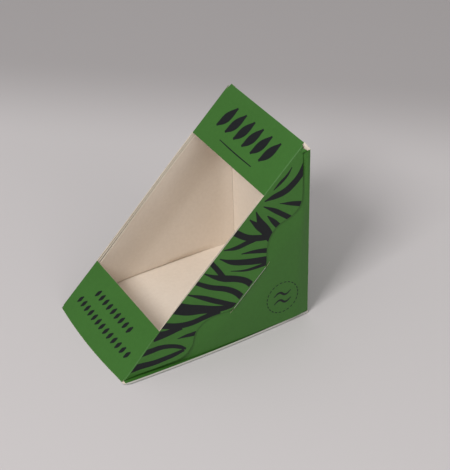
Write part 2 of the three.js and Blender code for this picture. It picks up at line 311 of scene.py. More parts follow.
# Offset-printed coated board: satin ink, nearly even, the eye sees one deep leaf green
printed = board_finish("offset printed board", "#366823", "#32621F", 0.5, ior=1.42)
# The same print along a fold, where the ink is cracked and the white coating shows through
creased = board_finish("creased printed board", "#5E8150", "#45713A", 0.6, 0.8)
# Bare inside of the board: uncoated cream fibre, quite matt
bare = board_finish("uncoated board inside", "#E4D8CA", "#DCCFC0", 0.8)
# Cut edge: raw fibre ends, matt and pale
cut_edge = board_finish("cut board edge", "#CDC1AE", "#BEB19D", 0.9, 0.5)
# Clay coating with no print, smooth and slightly satin. Its white is painted down to grey:
# painted shade for the low lip, which stands in the shadow of the flaps
coated = board_finish("clay coated board with painted shade", "#B9B8B1", "#B2B0A9", 0.55)
# Offset ink, near black: smoother than the green but less reflective, so it stays deep
ink = board_finish("black offset ink", "#0D1013", "#101316", 0.45, ior=1.36)
print("finishes:", len(bpy.data.materials))

# %% [markdown]
# ## Folding a flat blank
#
# A carton blank is a cross of panels round creases. A grid primitive is the flat sheet: its
# cells outside the blank are deleted, each crossing of its lines is carried to where the
# folded sheet has it, the crease lines get a narrow rounded bevel, and a Solidify modifier
# gives the board its thickness, with the print outside, bare fibre inside and a raw rim.
# A creasing tool crushes the fibre, so the board is thinner along each fold. A vertex group
# says so, and it also keeps the inner face from poking through a sharp fold.

# %% Helpers for sheets
# Three slots for each kind of panel: its outside, and then its inside and its cut edge
FINISHES = [printed, bare, cut_edge, coated, bare, cut_edge, creased, bare, cut_edge]
PRINT, COAT, CREASE = 0, 3, 6
crushed = 0.2
crease_width = 0.35
smooth_angle = 50


def choose(thing):
    bpy.ops.object.select_all(action="DESELECT")
    thing.select_set(True)
    bpy.context.view_layer.objects.active = thing


def edit(thing, operator, **settings):
    """Runs one edit mode operator on what is selected in the mesh."""
    choose(thing)
    bpy.ops.object.mode_set(mode="EDIT")
    operator(**settings)
    bpy.ops.object.mode_set(mode="OBJECT")


def edit_all(thing, operator, **settings):
    """Runs one edit mode operator on the whole mesh."""
    edit(thing, bpy.ops.mesh.select_all, action="SELECT")
    edit(thing, operator, **settings)


def select_parts(thing, faces=(), edges=()):
    """Selects only these faces or edges of the mesh, for the next operator."""
    choose(thing)
    bpy.context.tool_settings.mesh_select_mode = (False, bool(edges), not edges)
    bpy.ops.object.mode_set(mode="EDIT")
    bpy.ops.mesh.select_all(action="DESELECT")
    bpy.ops.object.mode_set(mode="OBJECT")
    for index in faces:
        thing.data.polygons[index].select = True
    for index in edges:
        thing.data.edges[index].select = True


def apply_modifier(thing, kind, **settings):
    choose(thing)
    modifier = thing.modifiers.new(kind.lower(), kind)
    for name, value in settings.items():
        setattr(modifier, name, value)
    bpy.ops.object.modifier_apply(modifier=modifier.name)


def flat_grid(name, columns, rows, finishes=FINISHES):
    """A flat sheet of cells, one unit each, with its first corner at the origin."""
    bpy.ops.object.select_all(action="DESELECT")
    bpy.ops.mesh.primitive_grid_add(x_subdivisions=columns, y_subdivisions=rows, size=1)
    sheet = bpy.context.object
    sheet.name = name
    sheet.data.name = name
    sheet.location = (columns / 2, rows / 2, 0)
    sheet.scale = (columns, rows, 1)
    bpy.ops.object.transform_apply(location=True, rotation=False, scale=True)
    for finish in finishes:
        sheet.data.materials.append(finish)
    return sheet


def fold_blank(name, columns, rows, keeps, panel, fold, place, thin):
    """Cuts a grid to a blank, folds it and gives it the board's thickness.

    keeps(i, j) says if a cell is part of the blank, panel(i, j) which finish it has,
    fold(a, b) if the edge between two crossings is a crease, and place(i, j) where a
    crossing lies on the folded sheet's outer face. Along a crease the board is crushed thin.
    """
    sheet = flat_grid(name, columns, rows)
    cells = [(int(f.center.x), int(f.center.y)) for f in sheet.data.polygons]
    select_parts(sheet, faces=[n for n, cell in enumerate(cells) if not keeps(*cell)])
    edit(sheet, bpy.ops.mesh.delete, type="FACE")
    for face in sheet.data.polygons:
        face.material_index = panel(int(face.center.x), int(face.center.y))
    crossing = [(round(v.co.x), round(v.co.y)) for v in sheet.data.vertices]
    creases = [
        e.index for e in sheet.data.edges
        if fold(crossing[e.vertices[0]], crossing[e.vertices[1]])
    ]
    body = sheet.vertex_groups.new(name="thickness")
    for vertex, (i, j) in zip(sheet.data.vertices, crossing):
        vertex.co = place(i, j)
        body.add([vertex.index], crushed if thin(i, j) else 1.0, "REPLACE")
    select_parts(sheet, edges=creases)
    edit(sheet, bpy.ops.mesh.bevel, offset=crease_width, offset_type="OFFSET", segments=4,
         affect="EDGES", material=CREASE, clamp_overlap=True)
    edit_all(sheet, bpy.ops.mesh.flip_normals)
    apply_modifier(sheet, "SOLIDIFY", thickness=board, offset=-1, vertex_group="thickness",
                   material_offset=1, material_offset_rim=2)
    print(name, "has", len(sheet.data.polygons), "faces and", len(creases), "crease edges")
    return sheet


def finish_piece(piece, body):
    """From millimetres to metres, shaded smooth except at sharp edges, riding on its body."""
    choose(piece)
    piece.scale = (MM, MM, MM)
    bpy.ops.object.transform_apply(location=True, rotation=True, scale=True)
    bpy.ops.object.shade_smooth_by_angle(angle=math.radians(smooth_angle))
    if body:
        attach(piece, body)


print("sheet helpers ready")

# %% [markdown]
# ## The tray: bottom panel, lower band, glue flap and inner triangles
#
# The lower half of the sheet carries the sandwich. Its bottom panel has the lower band at
# the front, a low glue flap at the rear that is stuck inside the back panel, and at each
# side a plain triangle that stands up inside the end. The sides of the panel bulge a little,
# its front edge bows forward, and each triangle's slanted edge is slightly crowned. The
# whole half is one grid, so every fold is a shared edge and the board runs through it.
#
# The side folds are springy and don't lie flat: each one stands just off the table as a low
# lip of white coating, painted grey as shade, with a groove between it and the end wall. The
# groove's cells are printed green as painted shade, so it reads dark.

# %% Lines of the tray's grid
wall_steps = 26
across_steps = 16
floor_steps = 30
band_steps = 8
glue_steps = 3
wall_lap, floor_lap = 0.15, 0.17
back_clear = y_back - board + wall_lap
wall_start = y_front + inner_edge_drop[1] / sin_slope + foot_front * cos_slope / sin_slope
foot_start = y_front + foot_edge_drop / sin_slope
floor_lines = [y_front, foot_start]
even_lines = floor_steps - 2
floor_lines += [lerp(wall_start, back_clear, n / (even_lines - 1)) for n in range(even_lines)]
floor_lines += [y_back - board + floor_lap]
# Steps of the lip and the groove: inwards from the fold, and up from the lifted edge
lip_profile = ((0.0, 0.0), (0.3, lip_height), (0.9, 0.1))
lip_steps = len(lip_profile)
# The lip has its full height from this far behind the front
lip_start = 3.0
# Least height of the foot at the very front, and of the triangle above its foot
least_foot, least_wall = 0.2, 0.01
tray_left = wall_steps
tray_right = wall_steps + across_steps
tray_columns = 2 * wall_steps + across_steps
tray_rows = band_steps + floor_steps + glue_steps
floor_row = band_steps
glue_row = band_steps + floor_steps


def across(step, left, right):
    """x of a column of the middle panels: the outer columns reach the panel's edges."""
    if step in (0, across_steps):
        return right if step else -left
    return lerp(-band_half, band_half, (step - 1) / (across_steps - 2))


def inner_edge_z(side, y):
    """Height of an inner triangle's crowned, slanted edge."""
    part = (y - wall_start) / (back_clear - wall_start)
    low = foot_top(wall_start)
    high = front_z(back_clear) - inner_edge_drop[side] / cos_slope
    return lerp(low, high, part) + 4 * inner_crown * part * (1 - part) / cos_slope


def inner_wall_point(side, y, step):
    """A point of an inner triangle: a low lip, a groove behind it, then the wall."""
    half = floor_half(side, y)
    if step < lip_steps:
        back, rise = lip_profile[step]
        grown = min(1.0, (y - y_front) / lip_start)
        return Vector((side * (half - back), y, edge_lift + rise * grown))
    top = foot_top(y) if y > foot_start else edge_lift + least_foot
    edge = max(inner_edge_z(side, y), top) if y > wall_start else top
    z = lerp(top, edge + least_wall, (step - lip_steps) / (wall_steps - lip_steps))
    fold = min(rear_half(side, z), wall_x(deep_at(strip_start(z), z)))
    return Vector((side * (end_x(side, y, z, fold) - inner_inset), y, z))


print("the tray's grid is", tray_columns, "by", tray_rows)

# %% Cut and fold the tray
def tray_keeps(i, j):
    if tray_left <= i < tray_right:
        edge_column = i in (tray_left, tray_right - 1)
        return floor_row <= j < glue_row or not edge_column
    return floor_row < j < glue_row - 1


def tray_panel(i, j):
    """The cells just past the fold, down into the groove, get the print as painted shade."""
    out = max(tray_left - 1 - i, i - tray_right)
    # Groove cells one and two out from the fold are printed green as painted shade
    return PRINT if out < 0 or out in (1, 2) else COAT


def tray_fold(a, b):
    if a[1] == b[1] and a[1] in (floor_row, glue_row):
        return tray_left < min(a[0], b[0]) and max(a[0], b[0]) < tray_right
    if a[0] == b[0] and a[0] in (tray_left, tray_right):
        return floor_row < min(a[1], b[1]) and max(a[1], b[1]) < glue_row
    return False


def tray_thin(i, j):
    out = max(tray_left - i, i - tray_right)
    return j in (floor_row, floor_row + 1, glue_row) or 0 <= out <= lip_steps


def tray_place(i, j):
    if j < floor_row:
        part = 1 - j / band_steps
        x = across(i - tray_left, half_pack, half_pack)
        return front_point(x, part * bottom_band) - Vector((0, bow(x) * (1 - part), 0))
    if j > glue_row:
        part = (j - glue_row) / glue_steps
        half = bottom_half(y_back) - 2 * board - glue_flap_taper * part
        x = across(i - tray_left, band_half, band_half) * half / band_half
        return Vector((x, y_back - board, part * glue_flap_height))
    y = floor_lines[j - floor_row]
    if i < tray_left:
        return inner_wall_point(-1, y, tray_left - i)
    if i > tray_right:
        return inner_wall_point(1, y, i - tray_right)
    x = across(i - tray_left, floor_half(-1, y), floor_half(1, y))
    forward = max(0.0, 1 - (y - y_front) / bow_run)
    z = edge_lift if i in (tray_left, tray_right) else 0.0
    if abs(x) <= band_half:
        x += foot_spread * max(0.0, x / band_half) ** 2 * forward ** 2
    return Vector((x, y - max(0.0, bow(x)) * forward ** 2, z))


tray = fold_blank("carton_tray", tray_columns, tray_rows,
                  tray_keeps, tray_panel, tray_fold, tray_place, tray_thin)

# %% [markdown]
# ## The cover: back panel, upper band and end triangles
#
# The upper half of the sheet is the back panel, the upper band that folds down over the
# ridge, and a printed triangle at each end. A triangle can be gridded with even cells and
# then cut, or its columns can fan out from the ridge. The fan is used here: its last column
# is the slanted edge itself, so that edge is clean with no cut.

# %% Lines of the cover's grid
end_steps = 44
rise_steps = 34
fold_cell = 0.6
end_low = foot_top(y_back) + layer_gap
end_high = pack_height - tip_drop
rise_lines = [0.0]
rise_lines += [lerp(end_low, end_high, n / (rise_steps - 3)) for n in range(rise_steps - 2)]
rise_lines += [(end_high + pack_height) / 2, pack_height]
cover_left = end_steps
cover_right = end_steps + across_steps
cover_columns = 2 * end_steps + across_steps
cover_rows = rise_steps + band_steps


def end_wall_point(side, step, row):
    """A point of an end triangle, counted forward from its fold on the back panel."""
    height = (rise_lines[row] - end_low) / (end_high - end_low)
    # The foot's height depends on y and y on the height, so three rounds settle them
    y, z = rear_y(side, rise_lines[row]), rise_lines[row]
    for _ in range(3):
        z = rise_lines[row] + (foot_top(y) + layer_gap - end_low) * (1 - height)
        edge = y_front + (z + end_edge_drop[side] / cos_slope) * pack_depth / pack_height
        rear = rear_y(side, z)
        y = lerp(rear - fold_cell, edge, (step - 1) / (end_steps - 1)) if step else rear
    return Vector((side * end_x(side, y, z, rear_half(side, z)), y, z))


print("the cover's grid is", cover_columns, "by", cover_rows)

# %% Cut and fold the cover
def cover_keeps(i, j):
    if cover_left <= i < cover_right:
        return j < rise_steps or i not in (cover_left, cover_right - 1)
    return 1 <= j < rise_steps - 2


def cover_panel(i, j):
    """All of the cover's outside is printed."""
    return PRINT


def cover_fold(a, b):
    if a[1] == b[1] == rise_steps:
        return cover_left < min(a[0], b[0]) and max(a[0], b[0]) < cover_right
    if a[0] == b[0] and a[0] in (cover_left, cover_right):
        return 1 <= min(a[1], b[1]) and max(a[1], b[1]) <= rise_steps - 2
    return False


def cover_thin(i, j):
    return j == rise_steps or i in (cover_left, cover_right)


def cover_place(i, j):
    if j > rise_steps:
        part = (j - rise_steps) / band_steps
        x = across(i - cover_left, half_pack, half_pack)
        return front_point(x, slope - part * top_band)
    if i < cover_left:
        return end_wall_point(-1, cover_left - i, j)
    if i > cover_right:
        return end_wall_point(1, i - cover_right, j)
    z = rise_lines[j]
    cut = max(0.0, z - end_high) * corner_cut
    x = across(i - cover_left, rear_half(-1, z) - cut, rear_half(1, z) - cut)
    lean = rear_y(1, z) - y_back if i == cover_right else 0.0
    return Vector((x, y_back + lean * (x - band_half) / (rear_half(1, z) - band_half), z))


cover = fold_blank("carton_cover", cover_columns, cover_rows,
                   cover_keeps, cover_panel, cover_fold, cover_place, cover_thin)

# %% [markdown]
# ## The side flap's own flat frame
#
# A side flap is drawn flat, as it lies on the cutting table: its fold along x, its depth
# along y and its outer face up. One function then carries a flat point to the pack, turns
# the tab into the slit, and serves the board and the print alike, so the two never part.

# %% Where a flat point of the flap goes
tab_bend = 0.5
bend_start = slit_depth - tab_bend
# A lobe springs off less at the top of the flap, and fully only from this depth down
top_spring, top_run, spring_gain, spring_start = 0.5, 60.0, 2.2, 12.0


def flap_plane(side, along, down, out):
    """A point of the flap's own plane, with no bend at the tab."""
    x = half_front + down * math.sin(flap_tilt) + out * flap_lean
    rest = down * flap_lean - out * math.sin(flap_tilt)
    x += end_shift(side, along, max(0.0, down))
    return Vector((side * x, y_front + along * cos_slope + rest * sin_slope,
                   along * sin_slope - rest * cos_slope))


def lobe_out(along, down):
    """How far a lobe springs off the wall: most at its free corner at the floor."""
    near = max(0.0, 1 - along / (lobe_run + down))
    near += top_spring * max(0.0, 1 - (slope - along) / top_run)
    return lobe_lift * min(1.0, near * spring_gain) ** 2 * min(1.0, max(0.0, down) / spring_start)


def flap_point(side, flat):
    """Where a flat point lies on the pack, with the tab turned round its bend."""
    along, down, out = flat
    out += lobe_out(along, down)
    past = down - bend_start
    reach = out + tab_bend
    if past > 0:
        turn = min(past / tab_bend, math.pi / 2)
        straight = past - tab_bend * turn
        down = bend_start + reach * math.sin(turn)
        out = reach * math.cos(turn) - tab_bend - straight
    return flap_plane(side, along, down, out)


def turn_outwards(thing, side):
    """What is carried to the right side comes out mirrored, so its faces are turned back."""
    if side > 0:
        edit_all(thing, bpy.ops.mesh.flip_normals)


def place_flat(thing, side, place=flap_point):
    """Carries every point of a flat drawn piece to its side of the pack."""
    for vertex in thing.data.vertices:
        vertex.co = place(side, vertex.co)
    turn_outwards(thing, side)


print("the tab's corner is at", flap_point(1, (middle, slit_depth + 1, 0)))

# %% Cut the slits for the tabs
def outline_prism(name, points, low, high, finish):
    """A filled circle whose points are moved onto the outline, extruded to a prism."""
    bpy.ops.object.select_all(action="DESELECT")
    bpy.ops.mesh.primitive_circle_add(vertices=len(points), fill_type="NGON")
    prism = bpy.context.object
    prism.name = name
    for vertex, point in zip(prism.data.vertices, points):
        vertex.co = (point[0], point[1], low)
    edit_all(prism, bpy.ops.mesh.extrude_region_move,
             TRANSFORM_OT_translate={"value": (0, 0, high - low)})
    edit_all(prism, bpy.ops.mesh.normals_make_consistent, inside=False)
    prism.data.materials.append(finish)
    return prism


def cut_with(thing, tool, operation, **settings):
    apply_modifier(thing, "BOOLEAN", operation=operation, solver="EXACT", object=tool,
                   material_mode="TRANSFER", **settings)
    bpy.data.objects.remove(tool)


tab_width, tab_tip, tab_reach = 29.0, 23.0, 1.2
slit_length, tab_gap, cut_above, cut_below = 38.0, 0.3, 0.1, 0.2
half_slot = tab_width / 2 + tab_gap
half_slit = slit_length / 2
slot_top, slot_low = slit_depth - board - tab_gap, slit_depth + tab_gap
cut_top, cut_low = slit_depth - cut_above, slit_depth + cut_below
slit_shape = [
    (middle - half_slit, cut_top), (middle - half_slot, cut_top),
    (middle - half_slot, slot_top), (middle + half_slot, slot_top),
    (middle + half_slot, cut_top), (middle + half_slit, cut_top),
    (middle + half_slit, cut_low), (middle + half_slot, slot_low),
    (middle - half_slot, slot_low), (middle - half_slit, cut_low),
]
knife_low, knife_high = -2.0, 1.2
for side, _ in SIDES:
    tool = outline_prism("slit", slit_shape, knife_low, knife_high, cut_edge)
    place_flat(tool, side, lambda s, flat: flap_plane(s, *flat))
    cut_with(cover, tool, "DIFFERENCE")
print("cover has", len(cover.data.polygons), "faces after the slits")

# %% [markdown]
# The tab pushes the lower lip of its slit outwards a little, so the raw edge of the board
# catches the light as a thin pale line. The points under the slit are moved out after the
# cut, most at the slit and not at all past its ends.

# %% Push out the lower lip of each slit
lip_out, lip_run = 0.6, 6.0
slit_deep = slit_depth * flap_lean
for vertex in cover.data.vertices:
    x, y, z = vertex.co
    below = deep_at(y, z) - slit_deep
    along = (y - y_front) * cos_slope + z * sin_slope
    aside = abs(along - middle) / half_slit
    if abs(x) > half_front and y < y_back - strip_foot and 0 < below < lip_run and aside < 1:
        vertex.co.x += math.copysign(lip_out * (1 - below / lip_run) ** 2 * (1 - aside ** 4), x)
print("lips stand out by", lip_out, "mm")

# %% Finish the two halves of the carton
for piece in (tray, cover):
    finish_piece(piece, "carton")
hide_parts("carton")
print("carton halves ride on the carton")

# %% [markdown]
# ## Outline of a side flap
#
# The flap's free edge is a wave: a lobe at each end, two waists and the tab in the middle.
# It is drawn with Bezier curves, as on a die maker's drawing, and stood up as a prism. A slab
# of board is then intersected with it, which leaves the flap the slab's grid for bending.

# %% Draw the outline
def curve_points(points, steps=10):
    """Points of a Bezier curve after its first one, by drawing its hull in step by step."""
    result = []
    for n in range(1, steps + 1):
        hull = [Vector(p) for p in points]
        while len(hull) > 1:
            hull = [a.lerp(b, n / steps) for a, b in zip(hull, hull[1:])]
        result.append(hull[0])
    return result


flap_end_gap, flap_end_run = 1.4, 3.3
lobe_depth, lobe_round = 24.4, 4.5
waist_depth, waist_span = 20.0, 73.0
crease_room = 0.5


def low_end(down):
    """Where the flap's lower end lies, clear of the floor when it is folded."""
    gap = flap_end_gap + flap_end_run * down / lobe_depth
    return (gap + down * cos_slope * flap_lean) / sin_slope


def high_end(down):
    """Where its upper end lies, clear of the back panel."""
    gap = flap_end_gap + flap_end_run * down / lobe_depth
    return slope - (gap + down * sin_slope * flap_lean) / cos_slope


def flap_outline():
    shoulder = lobe_depth - lobe_round
    low_lobe, high_lobe = low_end(lobe_depth), high_end(lobe_depth)
    low_waist, high_waist = middle - waist_span / 2, middle + waist_span / 2
    low_tab, high_tab = middle - tab_width / 2, middle + tab_width / 2
    low_round, high_round = low_lobe + lobe_round, high_lobe - lobe_round
    deepest = lobe_depth - board
    tab_end = slit_depth + board + tab_reach
    edge = [Vector((low_end(crease_room), crease_room)), Vector((low_end(shoulder), shoulder))]
    edge += curve_points([edge[-1], (low_lobe, lobe_depth), (low_round, deepest)], 6)
    edge += curve_points([edge[-1], ((low_round + low_waist) / 2, deepest),
                          ((low_round + low_waist) / 2, waist_depth), (low_waist, waist_depth)])
    edge += curve_points([edge[-1], ((low_waist + low_tab) / 2, waist_depth),
                          ((low_waist + 2 * low_tab) / 3, (waist_depth + 2 * slit_depth) / 3),
                          (low_tab, slit_depth)])
    edge += [Vector((middle - tab_tip / 2, tab_end)), Vector((middle + tab_tip / 2, tab_end))]
    edge += [Vector((high_tab, slit_depth))]
    edge += curve_points([edge[-1], ((high_waist + 2 * high_tab) / 3,
                                     (waist_depth + 2 * slit_depth) / 3),
                          ((high_waist + high_tab) / 2, waist_depth), (high_waist, waist_depth)])
    edge += curve_points([edge[-1], ((high_round + high_waist) / 2, waist_depth),
                          ((high_round + high_waist) / 2, deepest), (high_round, deepest)])
    edge += curve_points([edge[-1], (high_lobe, lobe_depth), (high_end(shoulder), shoulder)], 6)
    edge += [Vector((high_end(crease_room), crease_room))]
    top_start, bottom_end = slope - top_band, bottom_band
    edge += [Vector((top_start, crease_room)), Vector((top_start, 0))]
    edge += [Vector((bottom_end, 0)), Vector((bottom_end, crease_room))]
    return edge


outline = flap_outline()
print("the outline has", len(outline), "points")

# %% Cut the flap from a slab of board
# Grid lines down the flap, close together at the fold and at the tab's bend
down_lines = [-1, 0.25, 1.5, 3, 5, 7.5, 10, 12.5, 15, 17.5, 20, 22.5, 25, 27.5, 30, 31.2]
down_lines += [bend_start + tab_bend * math.pi / 2 * n / 4 for n in range(5)] + [34.5]
along_steps = 87
slab_over = 1
die_low, die_high = -2, 2
# Painted highlight: round the tab's bend, over this many cells, the print gives way to the pale
# coating, to stand in for the light that the bend catches
bend_highlight_cells = 3


def cut_flap(name):
    slab = flat_grid(name, along_steps, len(down_lines) - 1)
    bend = down_lines.index(bend_start)
    for face in slab.data.polygons:
        # The cells round the tab's bend take the pale coating as a painted highlight
        painted_bend_highlight = bend <= int(face.center.y) < bend + bend_highlight_cells
        face.material_index = COAT if painted_bend_highlight else PRINT
    for vertex in slab.data.vertices:
        vertex.co = (lerp(-slab_over, slope + slab_over, vertex.co.x / along_steps),
                     down_lines[round(vertex.co.y)], 0)
    apply_modifier(slab, "SOLIDIFY", thickness=board, offset=-1,
                   material_offset=1, material_offset_rim=2)
    cut_with(slab, outline_prism("die", outline, die_low, die_high, cut_edge), "INTERSECT")
    return slab


for side, word in SIDES:
    flap = cut_flap("folded_flap_" + word)
    place_flat(flap, side)
    finish_piece(flap, word + "_flap")
    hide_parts("side_flap_" + word)
    print(flap.name, "has", len(flap.data.polygons), "faces")

# %% [markdown]
# ## The creases beside the flaps
#
# Where a band ends, the board runs round the fold into the side flap. That narrow strip is
# the living hinge of the pack: it has to bend when the flap opens. It is a small grid of its
# own, curved round the fold.

# %% Round the board from each band into its flap
strip_along, strip_round, strip_board = 12, 5, 0.3
just_in = 0.1


def crease_strip(name, side, start, end):
    strip = flat_grid(name, strip_along, strip_round, FINISHES[:3])
    for vertex in strip.data.vertices:
        along = lerp(start, end, vertex.co.x / strip_along)
        part = vertex.co.y / strip_round
        hull = [front_point(side * band_half, along), front_point(side * half_front, along),
                flap_point(side, (along, crease_room, 0))]
        near, far = hull[0].lerp(hull[1], part), hull[1].lerp(hull[2], part)
        vertex.co = near.lerp(far, part)
    turn_outwards(strip, side)
    apply_modifier(strip, "SOLIDIFY", thickness=strip_board, offset=-1,
                   material_offset=1, material_offset_rim=2)
    finish_piece(strip, None)
    centre = (start + end) / 2
    inside = front_point(side * (band_half + just_in), centre, -just_in) * MM
    outside = flap_point(side, (centre, crease_room, -just_in)) * MM
    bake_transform(strip)


for side, word in SIDES:
    crease_strip("lower_crease_" + word, side, low_end(0), bottom_band)
    crease_strip("upper_crease_" + word, side, slope - top_band, high_end(0))
print("creases join the bands to the flaps")

# %% [markdown]
# ## Printed strokes
#
# The zebra print is drawn stroke by stroke. Each stroke is a curve through a few listed
# points, and each point has its own radius, so that the stroke swells and tapers as from a
# brush. The round tube is then pressed nearly flat and laid just on the board's surface.

# %% Draw a set of strokes
def draw_strokes(name, strokes, finish, proud=0.035, flatness=0.02):
    """All strokes as one mesh, nearly flat and a hair's breadth above the plane."""
    parts = []
    for points in strokes:
        bpy.ops.object.select_all(action="DESELECT")
        bpy.ops.curve.primitive_bezier_curve_add()
        stroke = bpy.context.object
        stroke.data.bevel_depth = 1.0
        stroke.data.bevel_resolution = 1
        stroke.data.use_fill_caps = True
        stroke.data.resolution_u = 8
        stroke.data.splines[0].radius_interpolation = "CARDINAL"
        knots = stroke.data.splines[0].bezier_points
        knots.add(len(points) - len(knots))
        for knot, (x, y, half_width) in zip(knots, points):
            knot.co = (x, y, 0)
            knot.radius = half_width
            knot.handle_left_type = knot.handle_right_type = "AUTO"
        bpy.ops.object.convert(target="MESH")
        parts.append(bpy.context.object)
    bpy.ops.object.select_all(action="DESELECT")
    for part in parts:
        part.select_set(True)
    bpy.context.view_layer.objects.active = parts[0]
    if len(parts) > 1:
        bpy.ops.object.join()
    print_layer = bpy.context.object
    print_layer.name = name
    print_layer.data.name = name
    for vertex in print_layer.data.vertices:
        vertex.co.z = vertex.co.z * flatness + proud
    print_layer.data.materials.clear()
    print_layer.data.materials.append(finish)
    return print_layer


# Each point is a place along the fold, a depth down the flap and half the stroke's width
ZEBRA = [
    [(158.5, 3.1, .25), (153.3, 3.9, .7), (147.1, 3.4, .85), (141.7, 2.9, .25)],
    [(169, 8, 2.7), (163.5, 9.6, 2.4), (157, 10.6, 1.9), (150, 10.4, 2), (144.7, 9.2, 2),
     (138.5, 5.7, 1.6), (133.5, 2.7, .35)],
    [(137.5, 11.7, .15), (140.6, 16.6, 1.1), (144.1, 22.5, 1.7), (146, 26, 1.9)],
    [(130.7, 4.3, .3), (132.4, 11.2, 1.4), (133.4, 17.6, 1.6), (134.2, 23.9, 1.6),
     (134.5, 27, 1.6)],
    [(127.6, 10.4, .4), (127.1, 15.3, 1.5), (126.4, 20.8, 1.8), (126, 25, 1.9)],
    [(125.8, 2.5, .4), (122.6, 8.5, 1.9), (120.4, 14.5, 3), (118.6, 20, 2.9), (118, 24, 2.8)],
    [(120, 2.3, .4), (119.7, 8, 1.7), (119.8, 14, 2.6)],
    [(109, -1, 2.1), (110.6, 8.2, 2), (113.9, 14.4, 2), (118.9, 21, 1.7), (121.5, 24, 1.5)],
    [(96.9, 1.1, .3), (102.1, 6.7, 1.3), (108.9, 11.1, 1.5), (114.4, 15.2, 1.3)],
    [(100.9, 12.2, .3), (105.7, 17.7, 1.1), (110.9, 24.8, 1.6), (113, 28, 1.7)],
    [(91.5, 2.4, .3), (93.8, 10.2, 1.6), (98.8, 18.6, 2), (105.8, 27.8, 2.2), (108.5, 31, 2.2)],
    [(89.1, 13.6, .2), (94.2, 21.4, .7), (99.1, 26.1, 1), (103.4, 29.6, 1.1), (106, 32, 1.1)],
    [(87, -1, 1.5), (85.3, 6.8, 1.6), (83.6, 13, 1.6)],
    [(79.5, .5, .4), (81.3, 7.7, 1.4), (83.4, 13, 2.1), (87.4, 20.8, 2), (89.2, 27.1, 2),
     (88.9, 31.8, 2)],
    [(72.2, -1, 1.3), (74.7, 9, 1.6), (79, 19.4, 1.8), (80.2, 25.9, 1.9), (79.7, 31.8, 2)],
    [(63.9, .2, .4), (66.9, 8.7, 1.4), (69.5, 17.9, 1.7), (71.9, 25.4, 1.5), (74, 31.8, 1.5)],
    [(53.2, -1.5, 3.8), (56.8, 7, 3.6), (60.8, 13.5, 2.9), (64.5, 20, 2.3), (68.5, 25.5, 1.8),
     (72.5, 29.5, 1.3)],
    [(40.5, -1, 2), (45.2, 7.4, 1.9), (50.9, 13.8, 1.8), (57.4, 18.4, 1.7), (63.1, 22.4, 1.7),
     (66, 25, 1.7)],
    [(32.3, -1, 3.3), (36.5, 3.4, 2.4), (41, 7, 1.8), (45.8, 10.8, 1.2)],
    [(38.7, 12.9, .2), (42.4, 16, .9), (45.5, 19.1, 1.3), (47.5, 21, 1.4)],
    [(20, -1, 1.9), (24.5, 3.2, 1.7), (29.4, 7.4, 1.5), (33.3, 12.7, 1.3), (35.6, 18, 1.2),
     (36.4, 21.6, .6)],
    [(9, -1, 2.2), (13.5, 3.2, 2), (19, 8.8, 1.7), (25, 13.6, 1.5), (30.5, 17.8, 1.3),
     (35.3, 21, .9)],
]

# %% Print the zebra strokes on both flaps
clip_inset, clip_depth, clip_centre = 0.06, slit_depth - 0.6, Vector((middle, 12))
clip_low, clip_high = -1, 1


def clip_outline(points):
    """The flap's outline without its tab, a little inside its edge."""
    kept = [p for p in points if p.y <= clip_depth]
    return [p + (clip_centre - p).normalized() * clip_inset for p in kept]


for side, word in SIDES:
    zebra = draw_strokes("zebra_print_" + word, ZEBRA, ink)
    cut_with(zebra, outline_prism("clip", clip_outline(outline), clip_low, clip_high, ink),
             "INTERSECT", use_self=True)
    place_flat(zebra, side)
    finish_piece(zebra, word + "_flap")
    print(zebra.name, "has", len(zebra.data.polygons), "faces")

# %% [markdown]
# ## Marks on the bands and the end
#
# The bands and the end triangles carry small dark marks. They are kept generic here: a row
# of bold strokes over a thin rule, two rows of short ticks, and a round stamp made of a
# dashed ring with two waves.

# %% Marks on the two bands
def lay_marks(name, strokes, place):
    marks = draw_strokes(name, strokes, ink)
    for vertex in marks.data.vertices:
        vertex.co = place(*vertex.co)
    edit_all(marks, bpy.ops.mesh.normals_make_consistent, inside=False)
    finish_piece(marks, "carton")


def on_lower_band(x, along, out):
    """The lower band bows forward towards its foot, and its marks go with it."""
    return front_point(x, along, out) - Vector((0, bow(x) * (1 - along / bottom_band), 0))


# Each point is a place across the band, a place up the slope and half the stroke's width
bold_count, bold_first, bold_pitch = 6, -25, 9.6
bold = []
for n in range(bold_count):
    x = bold_first + bold_pitch * n
    bold.append([(x - 3.2, 149, .8), (x - .6, 154, 3), (x + 1.4, 159, 3), (x + 3.6, 165, .7)])
bold.append([(-18, 143.5, .3), (0, 143.2, .4), (18, 143.5, .3)])
lay_marks("upper_band_marks", bold, front_point)
tick_pitch = 5.2
ticks = []
for count, along, start in ((9, 24.5, -21.0), (13, 13.5, -31.0)):
    for n in range(count):
        x = start + tick_pitch * n
        ticks.append([(x - 1.2, along - 2.6, .5), (x, along, 1.4), (x + 1.2, along + 2.6, .5)])
lay_marks("lower_band_marks", ticks, on_lower_band)
print("marks on the bands")

# %% A round stamp on each end
stamp_y, stamp_z, stamp_radius = 45.1, 20.9, 10.8
dashes, dash_turn, dash_length = 24, 15, 9


def arc(start, end, radius, half_width):
    """A stroke along part of a circle round the stamp's centre, between two angles."""
    turns = [math.radians(lerp(start, end, n / 4)) for n in range(5)]
    return [(stamp_y + radius * math.cos(t), stamp_z + radius * math.sin(t), half_width)
            for t in turns]


